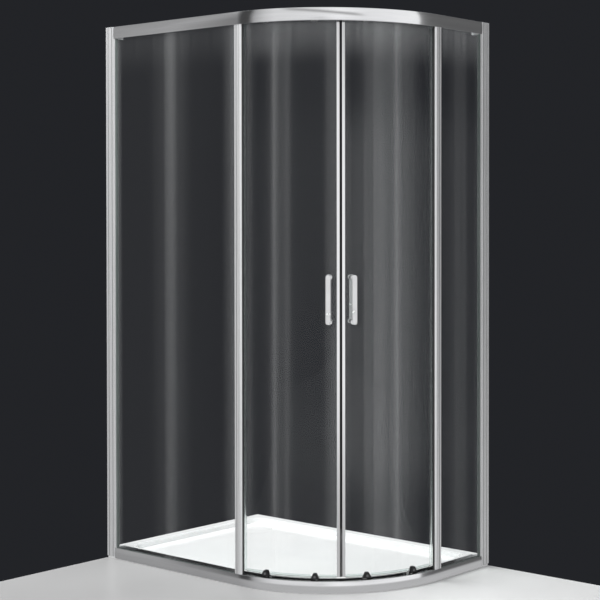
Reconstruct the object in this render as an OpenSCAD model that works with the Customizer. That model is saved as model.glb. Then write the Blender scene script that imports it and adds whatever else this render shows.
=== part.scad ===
// Offset quadrant shower enclosure with two curved sliding doors on a low tray.
// Sizes are in millimetres. X runs along the long wall, Y towards the back wall, Z up.
// The long wall meets the short wall at the corner (-X, +Y), and the curve faces (+X, -Y).

/* [Enclosure] */
// Outside length along the long wall
overall_w = 1200; // [1150:10:1400]
// Outside depth from the long wall to the front
overall_d = 800; // [780:10:1000]
// Height from the floor to the top of the top rail
overall_h = 2000; // [1850:10:2100]
// Outside radius of the curved corner
corner_r = 500; // [480:5:520]
// Depth of both rails, from the outside face inwards
rail_depth = 50; // [49:1:56]

/* [Rails] */
// Height of the top rail's outside face
top_face_h = 44; // [42:1:60]
// Height of the bottom rail's deck above the floor
bottom_face_h = 42; // [41:1:50]
// Wall of the rail extrusions
rail_wall = 2.5; // [2.3:0.1:2.8]
// Height of the crown of the rails' outside faces
rail_crown = 1.7; // [0.8:0.1:1.8]
// Depth below the top of the rail of the ledge that the rollers run on
ledge_drop = 25; // [24:0.5:28]
// Thickness of the roller ledge
ledge_t = 3; // [2:0.5:3]
// Height of the skirt's lower edge above the floor
skirt_gap = 2; // [1:0.5:5]
// Depth of the glass slot in both rails
slot_depth = 17; // [15:0.5:18]
// Width of the glass slot
slot_w = 9; // [8.5:0.1:9.4]

/* [Tray] */
// Thickness of the ledge that carries the bottom rail
tray_ledge_t = 8; // [6:0.5:10]
// Height of the tray's rim above the floor
tray_rim_h = 38; // [34:1:40]
// Thickness of the tray's floor
tray_floor_t = 20; // [16:1:24]
// Width of the rim along both walls
wall_rim_w = 50; // [40:1:70]
// Width of the rim behind the bottom rail
front_rim_w = 28; // [20:1:40]
// Width of the step round the pan, in the top of the rim
rim_step_w = 13; // [8:1:18]
// Depth of the step round the pan
rim_step_t = 1.5; // [1:0.5:3]
// Radius of the pan's three small corners
pan_corner_r = 45; // [20:5:80]
// Distance of the waste from both walls
waste_inset = 150; // [130:5:220]
// Diameter of the waste hole
waste_d = 90; // [88:1:92]
// Diameter of the waste cover
cover_d = 112; // [108:1:118]
// Thickness of the waste cover's plate
cover_t = 3; // [2:0.5:4]

/* [Glass and profiles] */
// Thickness of every pane
glass_t = 6; // [5:0.5:6.5]
// Setback of the side panes' outside face from the rails' outside face
side_setback = 6; // [5.6:0.1:6.5]
// Setback of the doors' outside face from the rails' outside face
door_setback = 30.5; // [30:0.1:31.5]
// Width of the wall profiles along the pane
wall_profile_w = 40; // [34:1:50]
// Depth of the wall profiles across the pane
wall_profile_d = 18; // [17.6:0.1:19]
// Wall of the profiles and mullions
profile_wall = 2; // [1.6:0.1:2.2]
// Wall of the uprights
upright_wall = 2.2; // [1.8:0.1:2.6]
// Distance of the outer wall fixings from the floor and from the top
fixing_inset = 200; // [120:10:300]
// Distance of the outer adjusting screws from the floor and from the top
screw_inset = 320; // [240:10:420]
// Length of upright that shows beyond the wall profile
upright_reach = 8; // [5:0.5:14]
// Width of the mullions
mullion_w = 34; // [30:1:40]
// Radius of the mullions' rounded edge beside the door
mullion_edge_r = 10; // [5:0.5:10]
// Width of the gasket that shows beyond the upright
gasket_reach = 8; // [4:0.5:12]

/* [Doors] */
// Width of each door's leading stile
stile_w = 10.5; // [9:0.5:14]
// Depth of the leading stile across the glass
stile_d = 14; // [12:0.5:15]
// Play of the trailing fin behind the mullion, which the doors' swing needs
fin_play = 1.5; // [1.3:0.1:2.5]
// Width of each magnetic seal
magnet_w = 3.5; // [3:0.5:8]
// Gap between the two magnetic seals
magnet_gap = 1; // [0.6:0.1:2]
// Angle of the trailing roller from the mullion
trailing_roller_a = 12; // [11:0.5:14]
// Angle of the leading roller from the mullion
leading_roller_a = 34; // [31:0.5:35]
// Diameter of the top rollers
roller_d = 16; // [14:0.5:17]
// Width of the top rollers
roller_w = 12; // [10:0.5:12]
// Diameter of the guide rollers
guide_d = 11; // [10:0.5:12]
// Height of the guide rollers
guide_h = 8; // [6:0.5:8]
// Diameter of the rollers' axles
axle_d = 4; // [3.5:0.1:5]
// Height of the bottom clips
clip_h = 20; // [16:1:24]
// Width of the bottom clips at their foot
clip_w = 28; // [24:1:34]
// Diameter of the release buttons
button_d = 8; // [6:0.5:9]
// Travel of the release buttons
button_travel = 2; // [1.5:0.1:2]

/* [Handles] */
// Length of each handle
handle_len = 170; // [140:5:220]
// Width of the handle's bar
handle_w = 18; // [14:1:20]
// Thickness of the handle's bar
handle_t = 8; // [6:0.5:10]
// Gap between the glass and the bar
handle_gap = 30; // [26:1:40]
// Height of the handle's middle above the floor
handle_z = 1005; // [900:5:1100]
// Distance of the handle's posts from the line where the doors meet
handle_inset = 37; // [34:1:50]
// Offset of the bar from its posts, away from the line where the doors meet
bar_offset = 6; // [4:0.5:12]
// Diameter of the handle's posts
post_d = 13; // [10:0.5:14]

/* [Hidden] */
$fn = 96;

// Small overlap used only to cut cleanly through a face
cut = 1;
// Radial clearance of a wheel on its axle
axle_play = 0.05;
// Gap left between a rolling face and its track
seat_gap = 0.3;
// Sideways play that the rollers need, because the doors turn about one fixed pole
track_play = 4.5;
// Fit of a lining in its slot, and play of a profile's end or face
lining_fit = 0.1;
face_play = 0.5;
// Gap between the tray and the metal round it
tray_play = 1;
// Grooves in the fronts of the profiles and mullions
groove_w = 2.5;
groove_depth = 0.9;

// Centre of the corner's arc
arc_x = overall_w / 2 - corner_r;
arc_y = corner_r - overall_d / 2;
// Straight runs from the arc to the walls
left_run = overall_w - corner_r;
right_run = overall_d - corner_r;
// Half of the arc, which each door covers
half_arc = 45;

// Radii from the arc's centre, from the outside inwards
inner_r = corner_r - rail_depth;
side_glass_r = corner_r - side_setback;
slot_outer_r = side_glass_r + (slot_w - glass_t) / 2;
slot_inner_r = slot_outer_r - slot_w;
door_glass_r = corner_r - door_setback;
door_inner_r = door_glass_r - glass_t;
door_mid_r = (door_glass_r + door_inner_r) / 2;
bracket_t = 3;
bracket_play = 0.5;
plate_r = door_glass_r + bracket_play;
roller_r = door_glass_r - roller_w;
ledge_clear = 0.4;
ledge_r = plate_r - track_play - ledge_clear;
channel_clear = 1.5;
channel_r = door_mid_r + guide_d / 2 + track_play + channel_clear;

// Heights
ledge_z = overall_h - ledge_drop;
roller_z = ledge_z + seat_gap + roller_d / 2;
top_face_z = overall_h - top_face_h;
door_top_gap = 3;
door_top_z = ledge_z - ledge_t - door_top_gap;
clip_gap = 2;
clip_z = bottom_face_h + clip_gap;
clip_base_t = 8;
door_bottom_z = clip_z + clip_base_t;
button_share = 0.42;
button_z = clip_z + clip_h * button_share;
rail_base_z = tray_ledge_t;
// The bottom slot is shallower, so that a pane is lifted into the top rail and set down
lift_in = 5;
bottom_slot_depth = slot_depth - lift_in;
slot_floor_z = bottom_face_h - bottom_slot_depth;
gasket_floor_t = 2;
side_glass_z = slot_floor_z + gasket_floor_t;
glass_top_gap = 5;
side_glass_top_z = overall_h - rail_wall - glass_top_gap;
slot_top_z = overall_h - slot_depth - rail_wall;
guide_drop = 6;
guide_z = clip_z - guide_drop - guide_h;

// Ends of the rails and profiles, measured from the arc along a straight run
cap_t = 2.5;
spigot_len = 24;
spigot_play = 0.5;
spigot_end_play = 1;
upright_back = 10;
profile_cap_t = 3;
pane_end = 22;
// Reach of the side panes into the mullions, past the start of the arc
mullion_seat = 2;
// Height of the feet under the waste cover
cover_foot_h = 1;

function angle_of(length, radius) = length / radius * 180 / PI;
magnet_a = half_arc - angle_of(magnet_gap / 2, door_glass_r);
stile_end_a = magnet_a - angle_of(magnet_w, door_glass_r);
stile_a = stile_end_a - angle_of(stile_w, door_glass_r);
// The glass ends this far inside the stile, and its seal's fin stands this far from its edge
glass_edge_inset = 3;
glass_edge_a = angle_of(glass_edge_inset, door_glass_r);
glass_end_a = stile_end_a - glass_edge_a;
glass_start_a = 0.4;
// Width of the trailing seal's base beyond its fin
fin_base_w = 8;
fin_a = glass_start_a + glass_edge_a;
fin_base_end_a = fin_a + angle_of(fin_base_w, door_glass_r);
// Fit of what is pushed on the glass, and of the seal in the stile
glass_fit = 0.05;
seal_fit_a = angle_of(glass_fit, door_glass_r);
handle_a = half_arc - angle_of(handle_inset, door_glass_r);
roller_angles = [trailing_roller_a, leading_roller_a];

// Press fit of an axle in its bracket or clip
axle_fit = 0.04;
// Heads of the axles stand this much wider
axle_head = 3;
axle_head_t = 1.5;
roller_recess_d = 9;
roller_recess = 2.5;

// Wall fixing holes, and screws that set the uprights in the wall profiles
fixing_z = [fixing_inset, overall_h / 2, overall_h - fixing_inset];
fixing_d = 5.5;
screw_shift = 60;
screw_z = [screw_inset, overall_h / 2 + screw_shift, overall_h - screw_inset];
screw_d = 4;
screw_head_d = 8;
screw_head_h = 2.5;
upright_gap = 0.3;

// Handles: rounded ends, in whose middles the posts stand
handle_end_r = 8;
post_inset = handle_end_r + 1;
handle_post_z = [handle_z - handle_len / 2 + post_inset, handle_z + handle_len / 2 - post_inset];
post_hole_d = 8;
post_neck_d = 7;
washer_t = 1.5;
washer_rim = 1;
// A flat washer clears the hollow side of the bent glass by this much
washer_fit = 0.1;

// Places

// Moves a right-hand piece, drawn about the arc's centre, to its own side
module on_side(side) {
    translate([arc_x, arc_y, 0])
        mirror(side == "left" ? [1, 1, 0] : [0, 0, 0])
            children();
}

// Turns to an angle along the arc, with X outwards and -Y towards the middle
module at_angle(angle) {
    rotate([0, 0, -angle])
        children();
}

// Stands a section drawn in radius and height along a straight run
module along_run(from, to) {
    translate([0, to, 0])
        rotate([90, 0, 0])
            linear_extrude(height = to - from)
                children();
}

// Bends a section drawn in radius and height along the arc of one side
module along_arc(from, to) {
    rotate([0, 0, -to])
        rotate_extrude(angle = to - from)
            children();
}

// A rectangle in radius and height
module patch(r1, r2, z1, z2) {
    translate([r1, z1])
        square([r2 - r1, z2 - z1]);
}

// A pane or strip bent along the arc
module arc_block(from, to, r1, r2, z1, z2) {
    along_arc(from, to)
        patch(r1, r2, z1, z2);
}

// A block on a straight run
module run_block(from, to, r1, r2, z1, z2) {
    translate([r1, from, z1])
        cube([r2 - r1, to - from, z2 - z1]);
}

// A round pin along the radius
module radial_pin(r1, r2, z, d) {
    translate([r1, 0, z])
        rotate([0, 90, 0])
            cylinder(h = r2 - r1, d = d);
}

// Rails

// Outline of the enclosure at an inset from its outside face
module plan_outline(inset) {
    translate([-overall_w / 2, inset - overall_d / 2])
        square([left_run, overall_d - inset]);
    translate([-overall_w / 2, arc_y])
        square([overall_w - inset, right_run]);
    intersection() {
        translate([arc_x, arc_y])
            circle(r = corner_r - inset);
        translate([arc_x - cut, arc_y - corner_r])
            square([corner_r + cut, corner_r + cut]);
    }
}

// A rail of one section: two straight runs joined by the arc
module bent_rail(end_gap) {
    translate([arc_x, arc_y, 0]) {
        along_run(0, right_run - end_gap)
            children();
        along_arc(0, 2 * half_arc)
            children();
        mirror([1, 1, 0])
            along_run(0, left_run - end_gap)
                children();
    }
}

// Outside wall of a rail, flat inside and crowned outside
module face_wall(from_r, z1, z2) {
    half = (z2 - z1) / 2;
    crown_r = (half * half + rail_crown * rail_crown) / (2 * rail_crown);
    intersection() {
        patch(from_r, corner_r + cut, z1, z2);
        translate([corner_r - crown_r, z1 + half])
            circle(r = crown_r, $fn = 360);
    }
}

module top_rail_section() {
    face_wall(corner_r - rail_wall, top_face_z, overall_h);
    patch(inner_r, corner_r - rail_wall, overall_h - rail_wall, overall_h);
    patch(slot_inner_r - profile_wall, slot_inner_r, slot_top_z, overall_h - rail_wall);
    patch(inner_r, inner_r + rail_wall, ledge_z - ledge_t, overall_h - rail_wall);
    patch(inner_r + rail_wall, ledge_r, ledge_z - ledge_t, ledge_z);
}

module top_rail() {
    color("silver")
        bent_rail(wall_profile_w + cap_t)
            top_rail_section();
}

module bottom_rail_section() {
    face_wall(corner_r - rail_wall, skirt_gap, bottom_face_h);
    patch(inner_r, corner_r - rail_wall, rail_base_z, rail_base_z + rail_wall);
    patch(inner_r, inner_r + rail_wall, rail_base_z + rail_wall, bottom_face_h);
    patch(channel_r, channel_r + rail_wall, rail_base_z + rail_wall, bottom_face_h);
    patch(channel_r + rail_wall, slot_inner_r, bottom_face_h - rail_wall, bottom_face_h);
    patch(slot_outer_r, corner_r - rail_wall, slot_floor_z - rail_wall, bottom_face_h);
    patch(channel_r + rail_wall, slot_outer_r, slot_floor_z - rail_wall, slot_floor_z);
    patch(slot_inner_r - profile_wall, slot_inner_r, slot_floor_z, bottom_face_h - rail_wall);
}

module bottom_rail() {
    color("silver")
        bent_rail(wall_profile_w + cap_t)
            bottom_rail_section();
}

// Strip that closes the bottom rail's glass slot between the mullions
module threshold_strip() {
    mullion_gap = 2;
    strip_a = angle_of(mullion_w / 2 + mullion_gap, corner_r);
    tongue_h = 6;
    lip = 1;
    lip_t = 0.8;
    color("silver")
        translate([arc_x, arc_y, 0]) {
            arc_block(strip_a, 2 * half_arc - strip_a, slot_inner_r + lining_fit,
                slot_outer_r - lining_fit, bottom_face_h - tongue_h, bottom_face_h);
            arc_block(strip_a, 2 * half_arc - strip_a, slot_inner_r - lip, slot_outer_r + lip,
                bottom_face_h, bottom_face_h + lip_t);
        }
}

// End plate of a rail, with the spigot that fills the wall profile
module rail_end(run, foot_z, z1, z2, spigot_z1, spigot_z2) {
    end = run - wall_profile_w;
    difference() {
        union() {
            along_run(end - cap_t, end)
                intersection() {
                    face_wall(inner_r, foot_z, z2);
                    patch(inner_r, corner_r, z1, z2);
                }
            run_block(end, end + spigot_len,
                corner_r - wall_profile_d + profile_wall + spigot_play,
                corner_r - profile_wall - spigot_play, spigot_z1, spigot_z2);
        }
        run_block(end - cap_t - cut, end + spigot_len + cut,
            side_glass_r - glass_t - spigot_play, side_glass_r + spigot_play,
            side_glass_z - spigot_play, side_glass_top_z + spigot_play);
    }
}

module top_rail_ends() {
    spigot_z1 = top_face_z + spigot_end_play;
    spigot_z2 = overall_h - profile_cap_t - spigot_end_play;
    color("gainsboro") {
        on_side("left")
            rail_end(left_run, top_face_z, top_face_z, overall_h, spigot_z1, spigot_z2);
        on_side("right")
            rail_end(right_run, top_face_z, top_face_z, overall_h, spigot_z1, spigot_z2);
    }
}

module bottom_rail_ends() {
    spigot_z2 = bottom_face_h - spigot_end_play;
    color("gainsboro") {
        on_side("left")
            rail_end(left_run, skirt_gap, rail_base_z, bottom_face_h, rail_base_z, spigot_z2);
        on_side("right")
            rail_end(right_run, skirt_gap, rail_base_z, bottom_face_h, rail_base_z, spigot_z2);
    }
}

// Rubber stops in the roller channel, where the open doors end
module door_stops() {
    stop_at = 134;
    stop_len = 12;
    stop_h = 16;
    stop_r = inner_r + rail_wall;
    color("dimgray") {
        on_side("left")
            run_block(stop_at, stop_at + stop_len, stop_r, door_glass_r, ledge_z, ledge_z + stop_h);
        on_side("right")
            run_block(stop_at, stop_at + stop_len, stop_r, door_glass_r, ledge_z, ledge_z + stop_h);
    }
}

// Tray

// Outline of the pan, or of the step round it
module pan_outline(grow) {
    left = -overall_w / 2 + wall_rim_w - grow;
    right = overall_w / 2 - rail_depth - front_rim_w + grow;
    front = -overall_d / 2 + rail_depth + front_rim_w - grow;
    back = overall_d / 2 - wall_rim_w + grow;
    r = pan_corner_r + grow;
    pan_r = corner_r - rail_depth - front_rim_w + grow;
    for (corner = [[left + r, front + r], [left + r, back - r], [right - r, back - r]])
        translate(corner)
            circle(r = r);
    translate([left + r, front])
        square([arc_x - left - r, back - front]);
    translate([left, front + r])
        square([arc_x - left, back - front - 2 * r]);
    translate([arc_x - cut, arc_y])
        square([right - arc_x + cut, back - r - arc_y]);
    translate([arc_x - cut, back - r - cut])
        square([right - r - arc_x + cut, r + cut]);
    intersection() {
        translate([arc_x, arc_y])
            circle(r = pan_r);
        translate([arc_x - cut, arc_y - pan_r])
            square([pan_r + cut, pan_r + cut]);
    }
}

module shower_tray() {
    waste_x = waste_inset - overall_w / 2;
    waste_y = overall_d / 2 - waste_inset;
    cover_play = 2;
    color("white")
        difference() {
            union() {
                linear_extrude(height = tray_ledge_t)
                    plan_outline(rail_wall + tray_play);
                linear_extrude(height = tray_rim_h)
                    plan_outline(rail_depth + tray_play);
            }
            translate([0, 0, tray_floor_t])
                linear_extrude(height = tray_rim_h)
                    pan_outline(0);
            translate([0, 0, tray_rim_h - rim_step_t])
                linear_extrude(height = tray_rim_h)
                    pan_outline(rim_step_w);
            translate([waste_x, waste_y, -cut])
                cylinder(h = tray_floor_t + 2 * cut, d = waste_d);
            translate([waste_x, waste_y, tray_floor_t - cover_t - cover_foot_h])
                cylinder(h = tray_floor_t, d = cover_d + 2 * cover_play);
            tray_profile_notch("left");
            tray_profile_notch("right");
        }
}

// Room in the tray's rim for the foot of a wall profile
module tray_profile_notch(side) {
    run = side == "left" ? left_run : right_run;
    on_side(side)
        run_block(run - wall_profile_w - tray_play, run + cut, inner_r - cut, corner_r,
            tray_ledge_t, tray_rim_h + cut);
}

// Flat cover on a ring of feet, so that water runs in all round its edge
module waste_cover() {
    foot_d = 8;
    foot_count = 6;
    color("white")
        translate([waste_inset - overall_w / 2, overall_d / 2 - waste_inset, 0]) {
            translate([0, 0, tray_floor_t - cover_t])
                cylinder(h = cover_t, d = cover_d);
            for (i = [0 : foot_count - 1])
                rotate([0, 0, i * 360 / foot_count])
                    translate([(waste_d + cover_d) / 4, 0, tray_floor_t - cover_t - cover_foot_h])
                        cylinder(h = cover_foot_h + cover_t / 2, d = foot_d);
        }
}

// Wall profiles, uprights and mullions

module wall_profile_section(run) {
    grooves_from_wall = [11, 32];
    difference() {
        translate([corner_r - wall_profile_d, run - wall_profile_w])
            square([wall_profile_d, wall_profile_w]);
        translate([corner_r - wall_profile_d + profile_wall, run - wall_profile_w - cut])
            square([wall_profile_d - 2 * profile_wall, wall_profile_w - profile_wall + cut]);
        for (from_wall = grooves_from_wall)
            translate([corner_r - groove_depth, run - from_wall - groove_w])
                square([groove_depth + cut, groove_w]);
    }
}

module wall_profile(side) {
    run = side == "left" ? left_run : right_run;
    color("silver")
        on_side(side)
            difference() {
                translate([0, 0, tray_ledge_t])
                    linear_extrude(height = overall_h - profile_cap_t - tray_ledge_t)
                        wall_profile_section(run);
                for (z = fixing_z)
                    translate([corner_r - wall_profile_d / 2, run + cut, z])
                        rotate([90, 0, 0])
                            cylinder(h = profile_wall + 2 * cut, d = fixing_d);
                for (z = screw_z)
                    translate([0, run - wall_profile_w / 2, 0])
                        radial_pin(corner_r - wall_profile_d - cut,
                            corner_r - wall_profile_d + profile_wall + cut, z, screw_d);
            }
}

module wall_profile_caps() {
    color("gainsboro")
        for (side = ["left", "right"])
            on_side(side) {
                run = side == "left" ? left_run : right_run;
                run_block(run - wall_profile_w, run, corner_r - wall_profile_d, corner_r,
                    overall_h - profile_cap_t, overall_h);
            }
}

module upright(side) {
    run = side == "left" ? left_run : right_run;
    front = run - wall_profile_w - upright_reach;
    back = run - upright_back;
    inner = corner_r - wall_profile_d + profile_wall + upright_gap;
    outer = corner_r - profile_wall - upright_gap;
    slot = outer - inner - 2 * upright_wall;
    pane_end_play = 1;
    web = run - pane_end + pane_end_play;
    color("silver")
        on_side(side)
            difference() {
                translate([0, 0, bottom_face_h])
                    linear_extrude(height = top_face_z - bottom_face_h)
                        difference() {
                            translate([inner, front])
                                square([outer - inner, back - front]);
                            translate([inner + upright_wall, front - cut])
                                square([slot, web - front + cut]);
                            translate([inner + upright_wall, web + upright_wall])
                                square([slot, back - web - 2 * upright_wall]);
                        }
                for (z = screw_z)
                    translate([0, run - wall_profile_w / 2, 0])
                        radial_pin(inner - cut, inner + upright_wall + cut, z, screw_d);
            }
}

module adjusting_screws() {
    head_r = corner_r - wall_profile_d;
    tip = 0.1;
    screw_reach = profile_wall + upright_gap + upright_wall + tip;
    color("gainsboro")
        for (side = ["left", "right"])
            on_side(side) {
                run = side == "left" ? left_run : right_run;
                for (z = screw_z)
                    translate([0, run - wall_profile_w / 2, 0]) {
                        radial_pin(head_r - screw_head_h, head_r, z, screw_head_d);
                        radial_pin(head_r, head_r + screw_reach, z, screw_d - 2 * axle_play);
                    }
            }
}

module side_glass(side) {
    run = side == "left" ? left_run : right_run;
    color("lightcyan", 0.4)
        on_side(side)
            run_block(-mullion_seat, run - pane_end, side_glass_r - glass_t, side_glass_r,
                side_glass_z, side_glass_top_z);
}

// Rubber lining of the side pane: at the upright, under the pane and over it
module gaskets(side) {
    run = side == "left" ? left_run : right_run;
    lining = (slot_w - glass_t) / 2;
    inner = side_glass_r - glass_t;
    show = run - wall_profile_w - upright_reach - gasket_reach;
    foot_gap = 1;
    foot = mullion_w / 2 + foot_gap;
    color("darkslategray")
        on_side(side) {
            for (r = [inner - lining + lining_fit, side_glass_r])
                run_block(show, run - pane_end, r, r + lining - lining_fit,
                    bottom_face_h + face_play, top_face_z - face_play);
            run_block(foot, run - wall_profile_w - cap_t, inner - lining, side_glass_r + lining,
                slot_floor_z, side_glass_z);
            for (r = [inner - lining, side_glass_r])
                run_block(foot, run - wall_profile_w - cap_t, r, r + lining,
                    side_glass_z, bottom_face_h);
            run_block(foot, run - wall_profile_w - cap_t, inner - lining, inner,
                slot_top_z + face_play, side_glass_top_z);
            run_block(foot, run - wall_profile_w - cap_t, side_glass_r, corner_r - rail_wall,
                slot_top_z + face_play, side_glass_top_z);
        }
}

// Bar with one rounded edge, at an inset from the mullion's outline
module rounded_bar(inner, outer, end, inset) {
    r = mullion_edge_r - inset;
    edge_y = mullion_edge_r - mullion_w / 2;
    translate([inner, edge_y])
        square([outer - inset - inner, end - edge_y]);
    intersection() {
        translate([outer - mullion_edge_r, edge_y])
            circle(r = r);
        translate([inner, edge_y - r])
            square([outer - inner, r + cut]);
    }
    translate([inner, edge_y - r])
        square([outer - mullion_edge_r - inner, end - edge_y + r]);
}

// Hollow bar with a rounded edge beside the door and a slot for the side pane
module mullion(side) {
    half = mullion_w / 2;
    outer = corner_r - rail_wall - face_play;
    groove_at = 6;
    color("silver")
        on_side(side)
            translate([0, 0, bottom_face_h])
                linear_extrude(height = slot_top_z - bottom_face_h)
                    difference() {
                        rounded_bar(slot_inner_r - profile_wall, outer, half, 0);
                        rounded_bar(slot_inner_r, outer, -mullion_seat - profile_wall,
                            profile_wall);
                        translate([slot_inner_r, -mullion_seat])
                            square([slot_w, half + mullion_seat + cut]);
                        translate([outer - groove_depth, groove_at])
                            square([groove_depth + cut, groove_w]);
                    }
}

// Doors

module door_glass(side) {
    color("lightcyan", 0.4)
        on_side(side)
            difference() {
                arc_block(glass_start_a, glass_end_a, door_inner_r, door_glass_r,
                    door_bottom_z, door_top_z);
                for (z = handle_post_z)
                    at_angle(handle_a)
                        radial_pin(door_inner_r - cut, door_glass_r + cut, z, post_hole_d);
            }
}

module leading_stile(side) {
    color("silver")
        on_side(side)
            difference() {
                arc_block(stile_a, stile_end_a, door_mid_r - stile_d / 2,
                    door_mid_r + stile_d / 2,
                    door_bottom_z, door_top_z);
                arc_block(stile_a - cut, glass_end_a, door_inner_r, door_glass_r,
                    door_bottom_z - cut, door_top_z + cut);
            }
}

module magnetic_seal(side) {
    set_back = 1.5;
    half = stile_d / 2 - set_back;
    color("black")
        on_side(side)
            arc_block(stile_end_a + seal_fit_a, magnet_a, door_mid_r - half, door_mid_r + half,
                door_bottom_z, door_top_z);
}

// Fin on the door's trailing edge that meets the back of the mullion
module trailing_seal(side) {
    base_t = 1.5;
    fin_t = 1.2;
    fin_end_a = fin_a + angle_of(fin_t, door_glass_r);
    fin_r = slot_inner_r - profile_wall - fin_play;
    color("gainsboro", 0.6)
        on_side(side) {
            arc_block(glass_start_a, fin_base_end_a, door_glass_r, door_glass_r + base_t,
                door_bottom_z, door_top_z);
            arc_block(fin_a, fin_end_a, door_glass_r + base_t, fin_r,
                door_bottom_z, door_top_z);
        }
}

// Drip strip along the door's lower edge, between the clips
module sweep_seal(side) {
    clear_a = angle_of(clip_w / 2 + 1, door_glass_r);
    strip_h = 7;
    strip_t = 1.2;
    drip_h = 4;
    end_a = 0.2;
    spans = [
        [fin_base_end_a + end_a, trailing_roller_a - clear_a],
        [trailing_roller_a + clear_a, leading_roller_a - clear_a],
        [leading_roller_a + clear_a, stile_a - end_a]
    ];
    color("gainsboro", 0.6)
        on_side(side)
            for (span = spans) {
                arc_block(span[0], span[1], door_glass_r + glass_fit, door_glass_r + strip_t,
                    door_bottom_z - drip_h, door_bottom_z + strip_h);
                arc_block(span[0], span[1], door_inner_r - strip_t, door_inner_r - glass_fit,
                    door_bottom_z - drip_h, door_bottom_z + strip_h);
                arc_block(span[0], span[1], door_inner_r - strip_t, door_glass_r + strip_t,
                    door_bottom_z - drip_h, door_bottom_z);
            }
}

// Bracket over the glass's upper edge that carries one top roller
module roller_bracket() {
    clamp_w = 22;
    half_a = angle_of(clamp_w / 2, door_glass_r);
    clamp_h = 12;
    bridge_t = 2.2;
    plate_w = 16;
    cheek_t = 3;
    arc_block(-half_a, half_a, door_glass_r + glass_fit, plate_r + bracket_t,
        door_top_z - clamp_h, door_top_z);
    arc_block(-half_a, half_a, door_inner_r - cheek_t, door_inner_r - glass_fit,
        door_top_z - clamp_h, door_top_z);
    arc_block(-half_a, half_a, door_inner_r - cheek_t, plate_r + bracket_t,
        door_top_z, door_top_z + bridge_t);
    difference() {
        union() {
            translate([plate_r, -plate_w / 2, door_top_z + bridge_t / 2])
                cube([bracket_t, plate_w, roller_z - door_top_z - bridge_t / 2]);
            radial_pin(plate_r, plate_r + bracket_t, roller_z, plate_w);
        }
        radial_pin(plate_r - cut, plate_r + bracket_t + cut, roller_z, axle_d + axle_fit);
    }
}

module roller_brackets(side) {
    color("darkgray")
        on_side(side)
            for (angle = roller_angles)
                at_angle(angle)
                    roller_bracket();
}

// Axle with a head in the roller's recess and one behind the bracket
module roller_axles(side) {
    head_play = 0.2;
    inner = roller_r + face_play;
    neck = roller_r + roller_recess - head_play;
    plate_back = plate_r + bracket_t;
    color("gainsboro")
        on_side(side)
            for (angle = roller_angles)
                at_angle(angle) {
                    radial_pin(neck, plate_back + axle_head_t, roller_z, axle_d);
                    radial_pin(inner, neck, roller_z, axle_d + axle_head);
                    radial_pin(plate_back, plate_back + axle_head_t, roller_z,
                        axle_d + axle_head);
                }
}

// Top roller with a recess for the axle's head
module roller(side, angle) {
    color("whitesmoke")
        on_side(side)
            at_angle(angle)
                difference() {
                    radial_pin(roller_r, door_glass_r, roller_z, roller_d);
                    radial_pin(roller_r - cut, door_glass_r + cut, roller_z,
                        axle_d + 2 * axle_play);
                    radial_pin(roller_r - cut, roller_r + roller_recess, roller_z,
                        roller_recess_d);
                }
}

// Clip under the glass that carries a guide roller and the release button
module bottom_clip() {
    cheek_t = 6.5;
    back_t = 3;
    foot_h = 4;
    slot_half_a = 5;
    button_play = 0.3;
    cheek_r = door_glass_r + cheek_t;
    head_share = 0.4;
    head_w = clip_w * head_share;
    difference() {
        translate([door_inner_r - back_t, 0, clip_z])
            rotate([90, 0, 90])
                linear_extrude(height = cheek_r - door_inner_r + back_t)
                    polygon([
                        [-clip_w / 2, 0],
                        [clip_w / 2, 0],
                        [clip_w / 2, foot_h],
                        [head_w / 2, clip_h],
                        [-head_w / 2, clip_h],
                        [-clip_w / 2, foot_h]
                    ]);
        along_arc(-slot_half_a, slot_half_a)
            patch(door_inner_r - glass_fit, door_glass_r + glass_fit, door_bottom_z,
                clip_z + clip_h + cut);
        radial_pin(door_glass_r - cut, cheek_r + cut, button_z, button_d + 2 * button_play);
        translate([door_mid_r, 0, clip_z - cut])
            cylinder(h = clip_base_t, d = axle_d + axle_fit);
    }
}

module bottom_clips(side) {
    color("black")
        on_side(side)
            for (angle = roller_angles)
                at_angle(angle)
                    bottom_clip();
}

// Axle that hangs from the clip, with a head under the guide roller
module guide_axles(side) {
    head_top = guide_z - face_play;
    pin_top = clip_z + clip_base_t - 2 * axle_head_t;
    color("gainsboro")
        on_side(side)
            for (angle = roller_angles)
                at_angle(angle)
                    translate([door_mid_r, 0, 0]) {
                        translate([0, 0, head_top - axle_head_t])
                            cylinder(h = pin_top - head_top + axle_head_t, d = axle_d);
                        translate([0, 0, head_top - 2 * axle_head_t])
                            cylinder(h = 2 * axle_head_t, d = axle_d + axle_head);
                    }
}

module guide(side, angle) {
    color("whitesmoke")
        on_side(side)
            at_angle(angle)
                translate([door_mid_r, 0, guide_z])
                    difference() {
                        cylinder(h = guide_h, d = guide_d);
                        translate([0, 0, -cut])
                            cylinder(h = guide_h + 2 * cut, d = axle_d + 2 * axle_play);
                    }
}

module release_button(side, angle) {
    button_len = 6.2;
    button_back_play = 0.4;
    inner = door_glass_r + button_travel + button_back_play;
    color("lightgray")
        on_side(side)
            at_angle(angle)
                radial_pin(inner, inner + button_len, button_z, button_d);
}

// Handles

// Flat outline of the handle, standing in height and along the door
module handle_outline() {
    reach = handle_len / 2;
    translate([-bar_offset - handle_w / 2, -reach + handle_w / 2])
        square([handle_w, handle_len - handle_w]);
    for (s = [-1, 1])
        hull() {
            translate([-bar_offset, s * (reach - handle_w / 2)])
                circle(d = handle_w, $fn = 32);
            translate([0, s * (reach - post_inset)])
                circle(r = handle_end_r, $fn = 32);
        }
}

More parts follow.
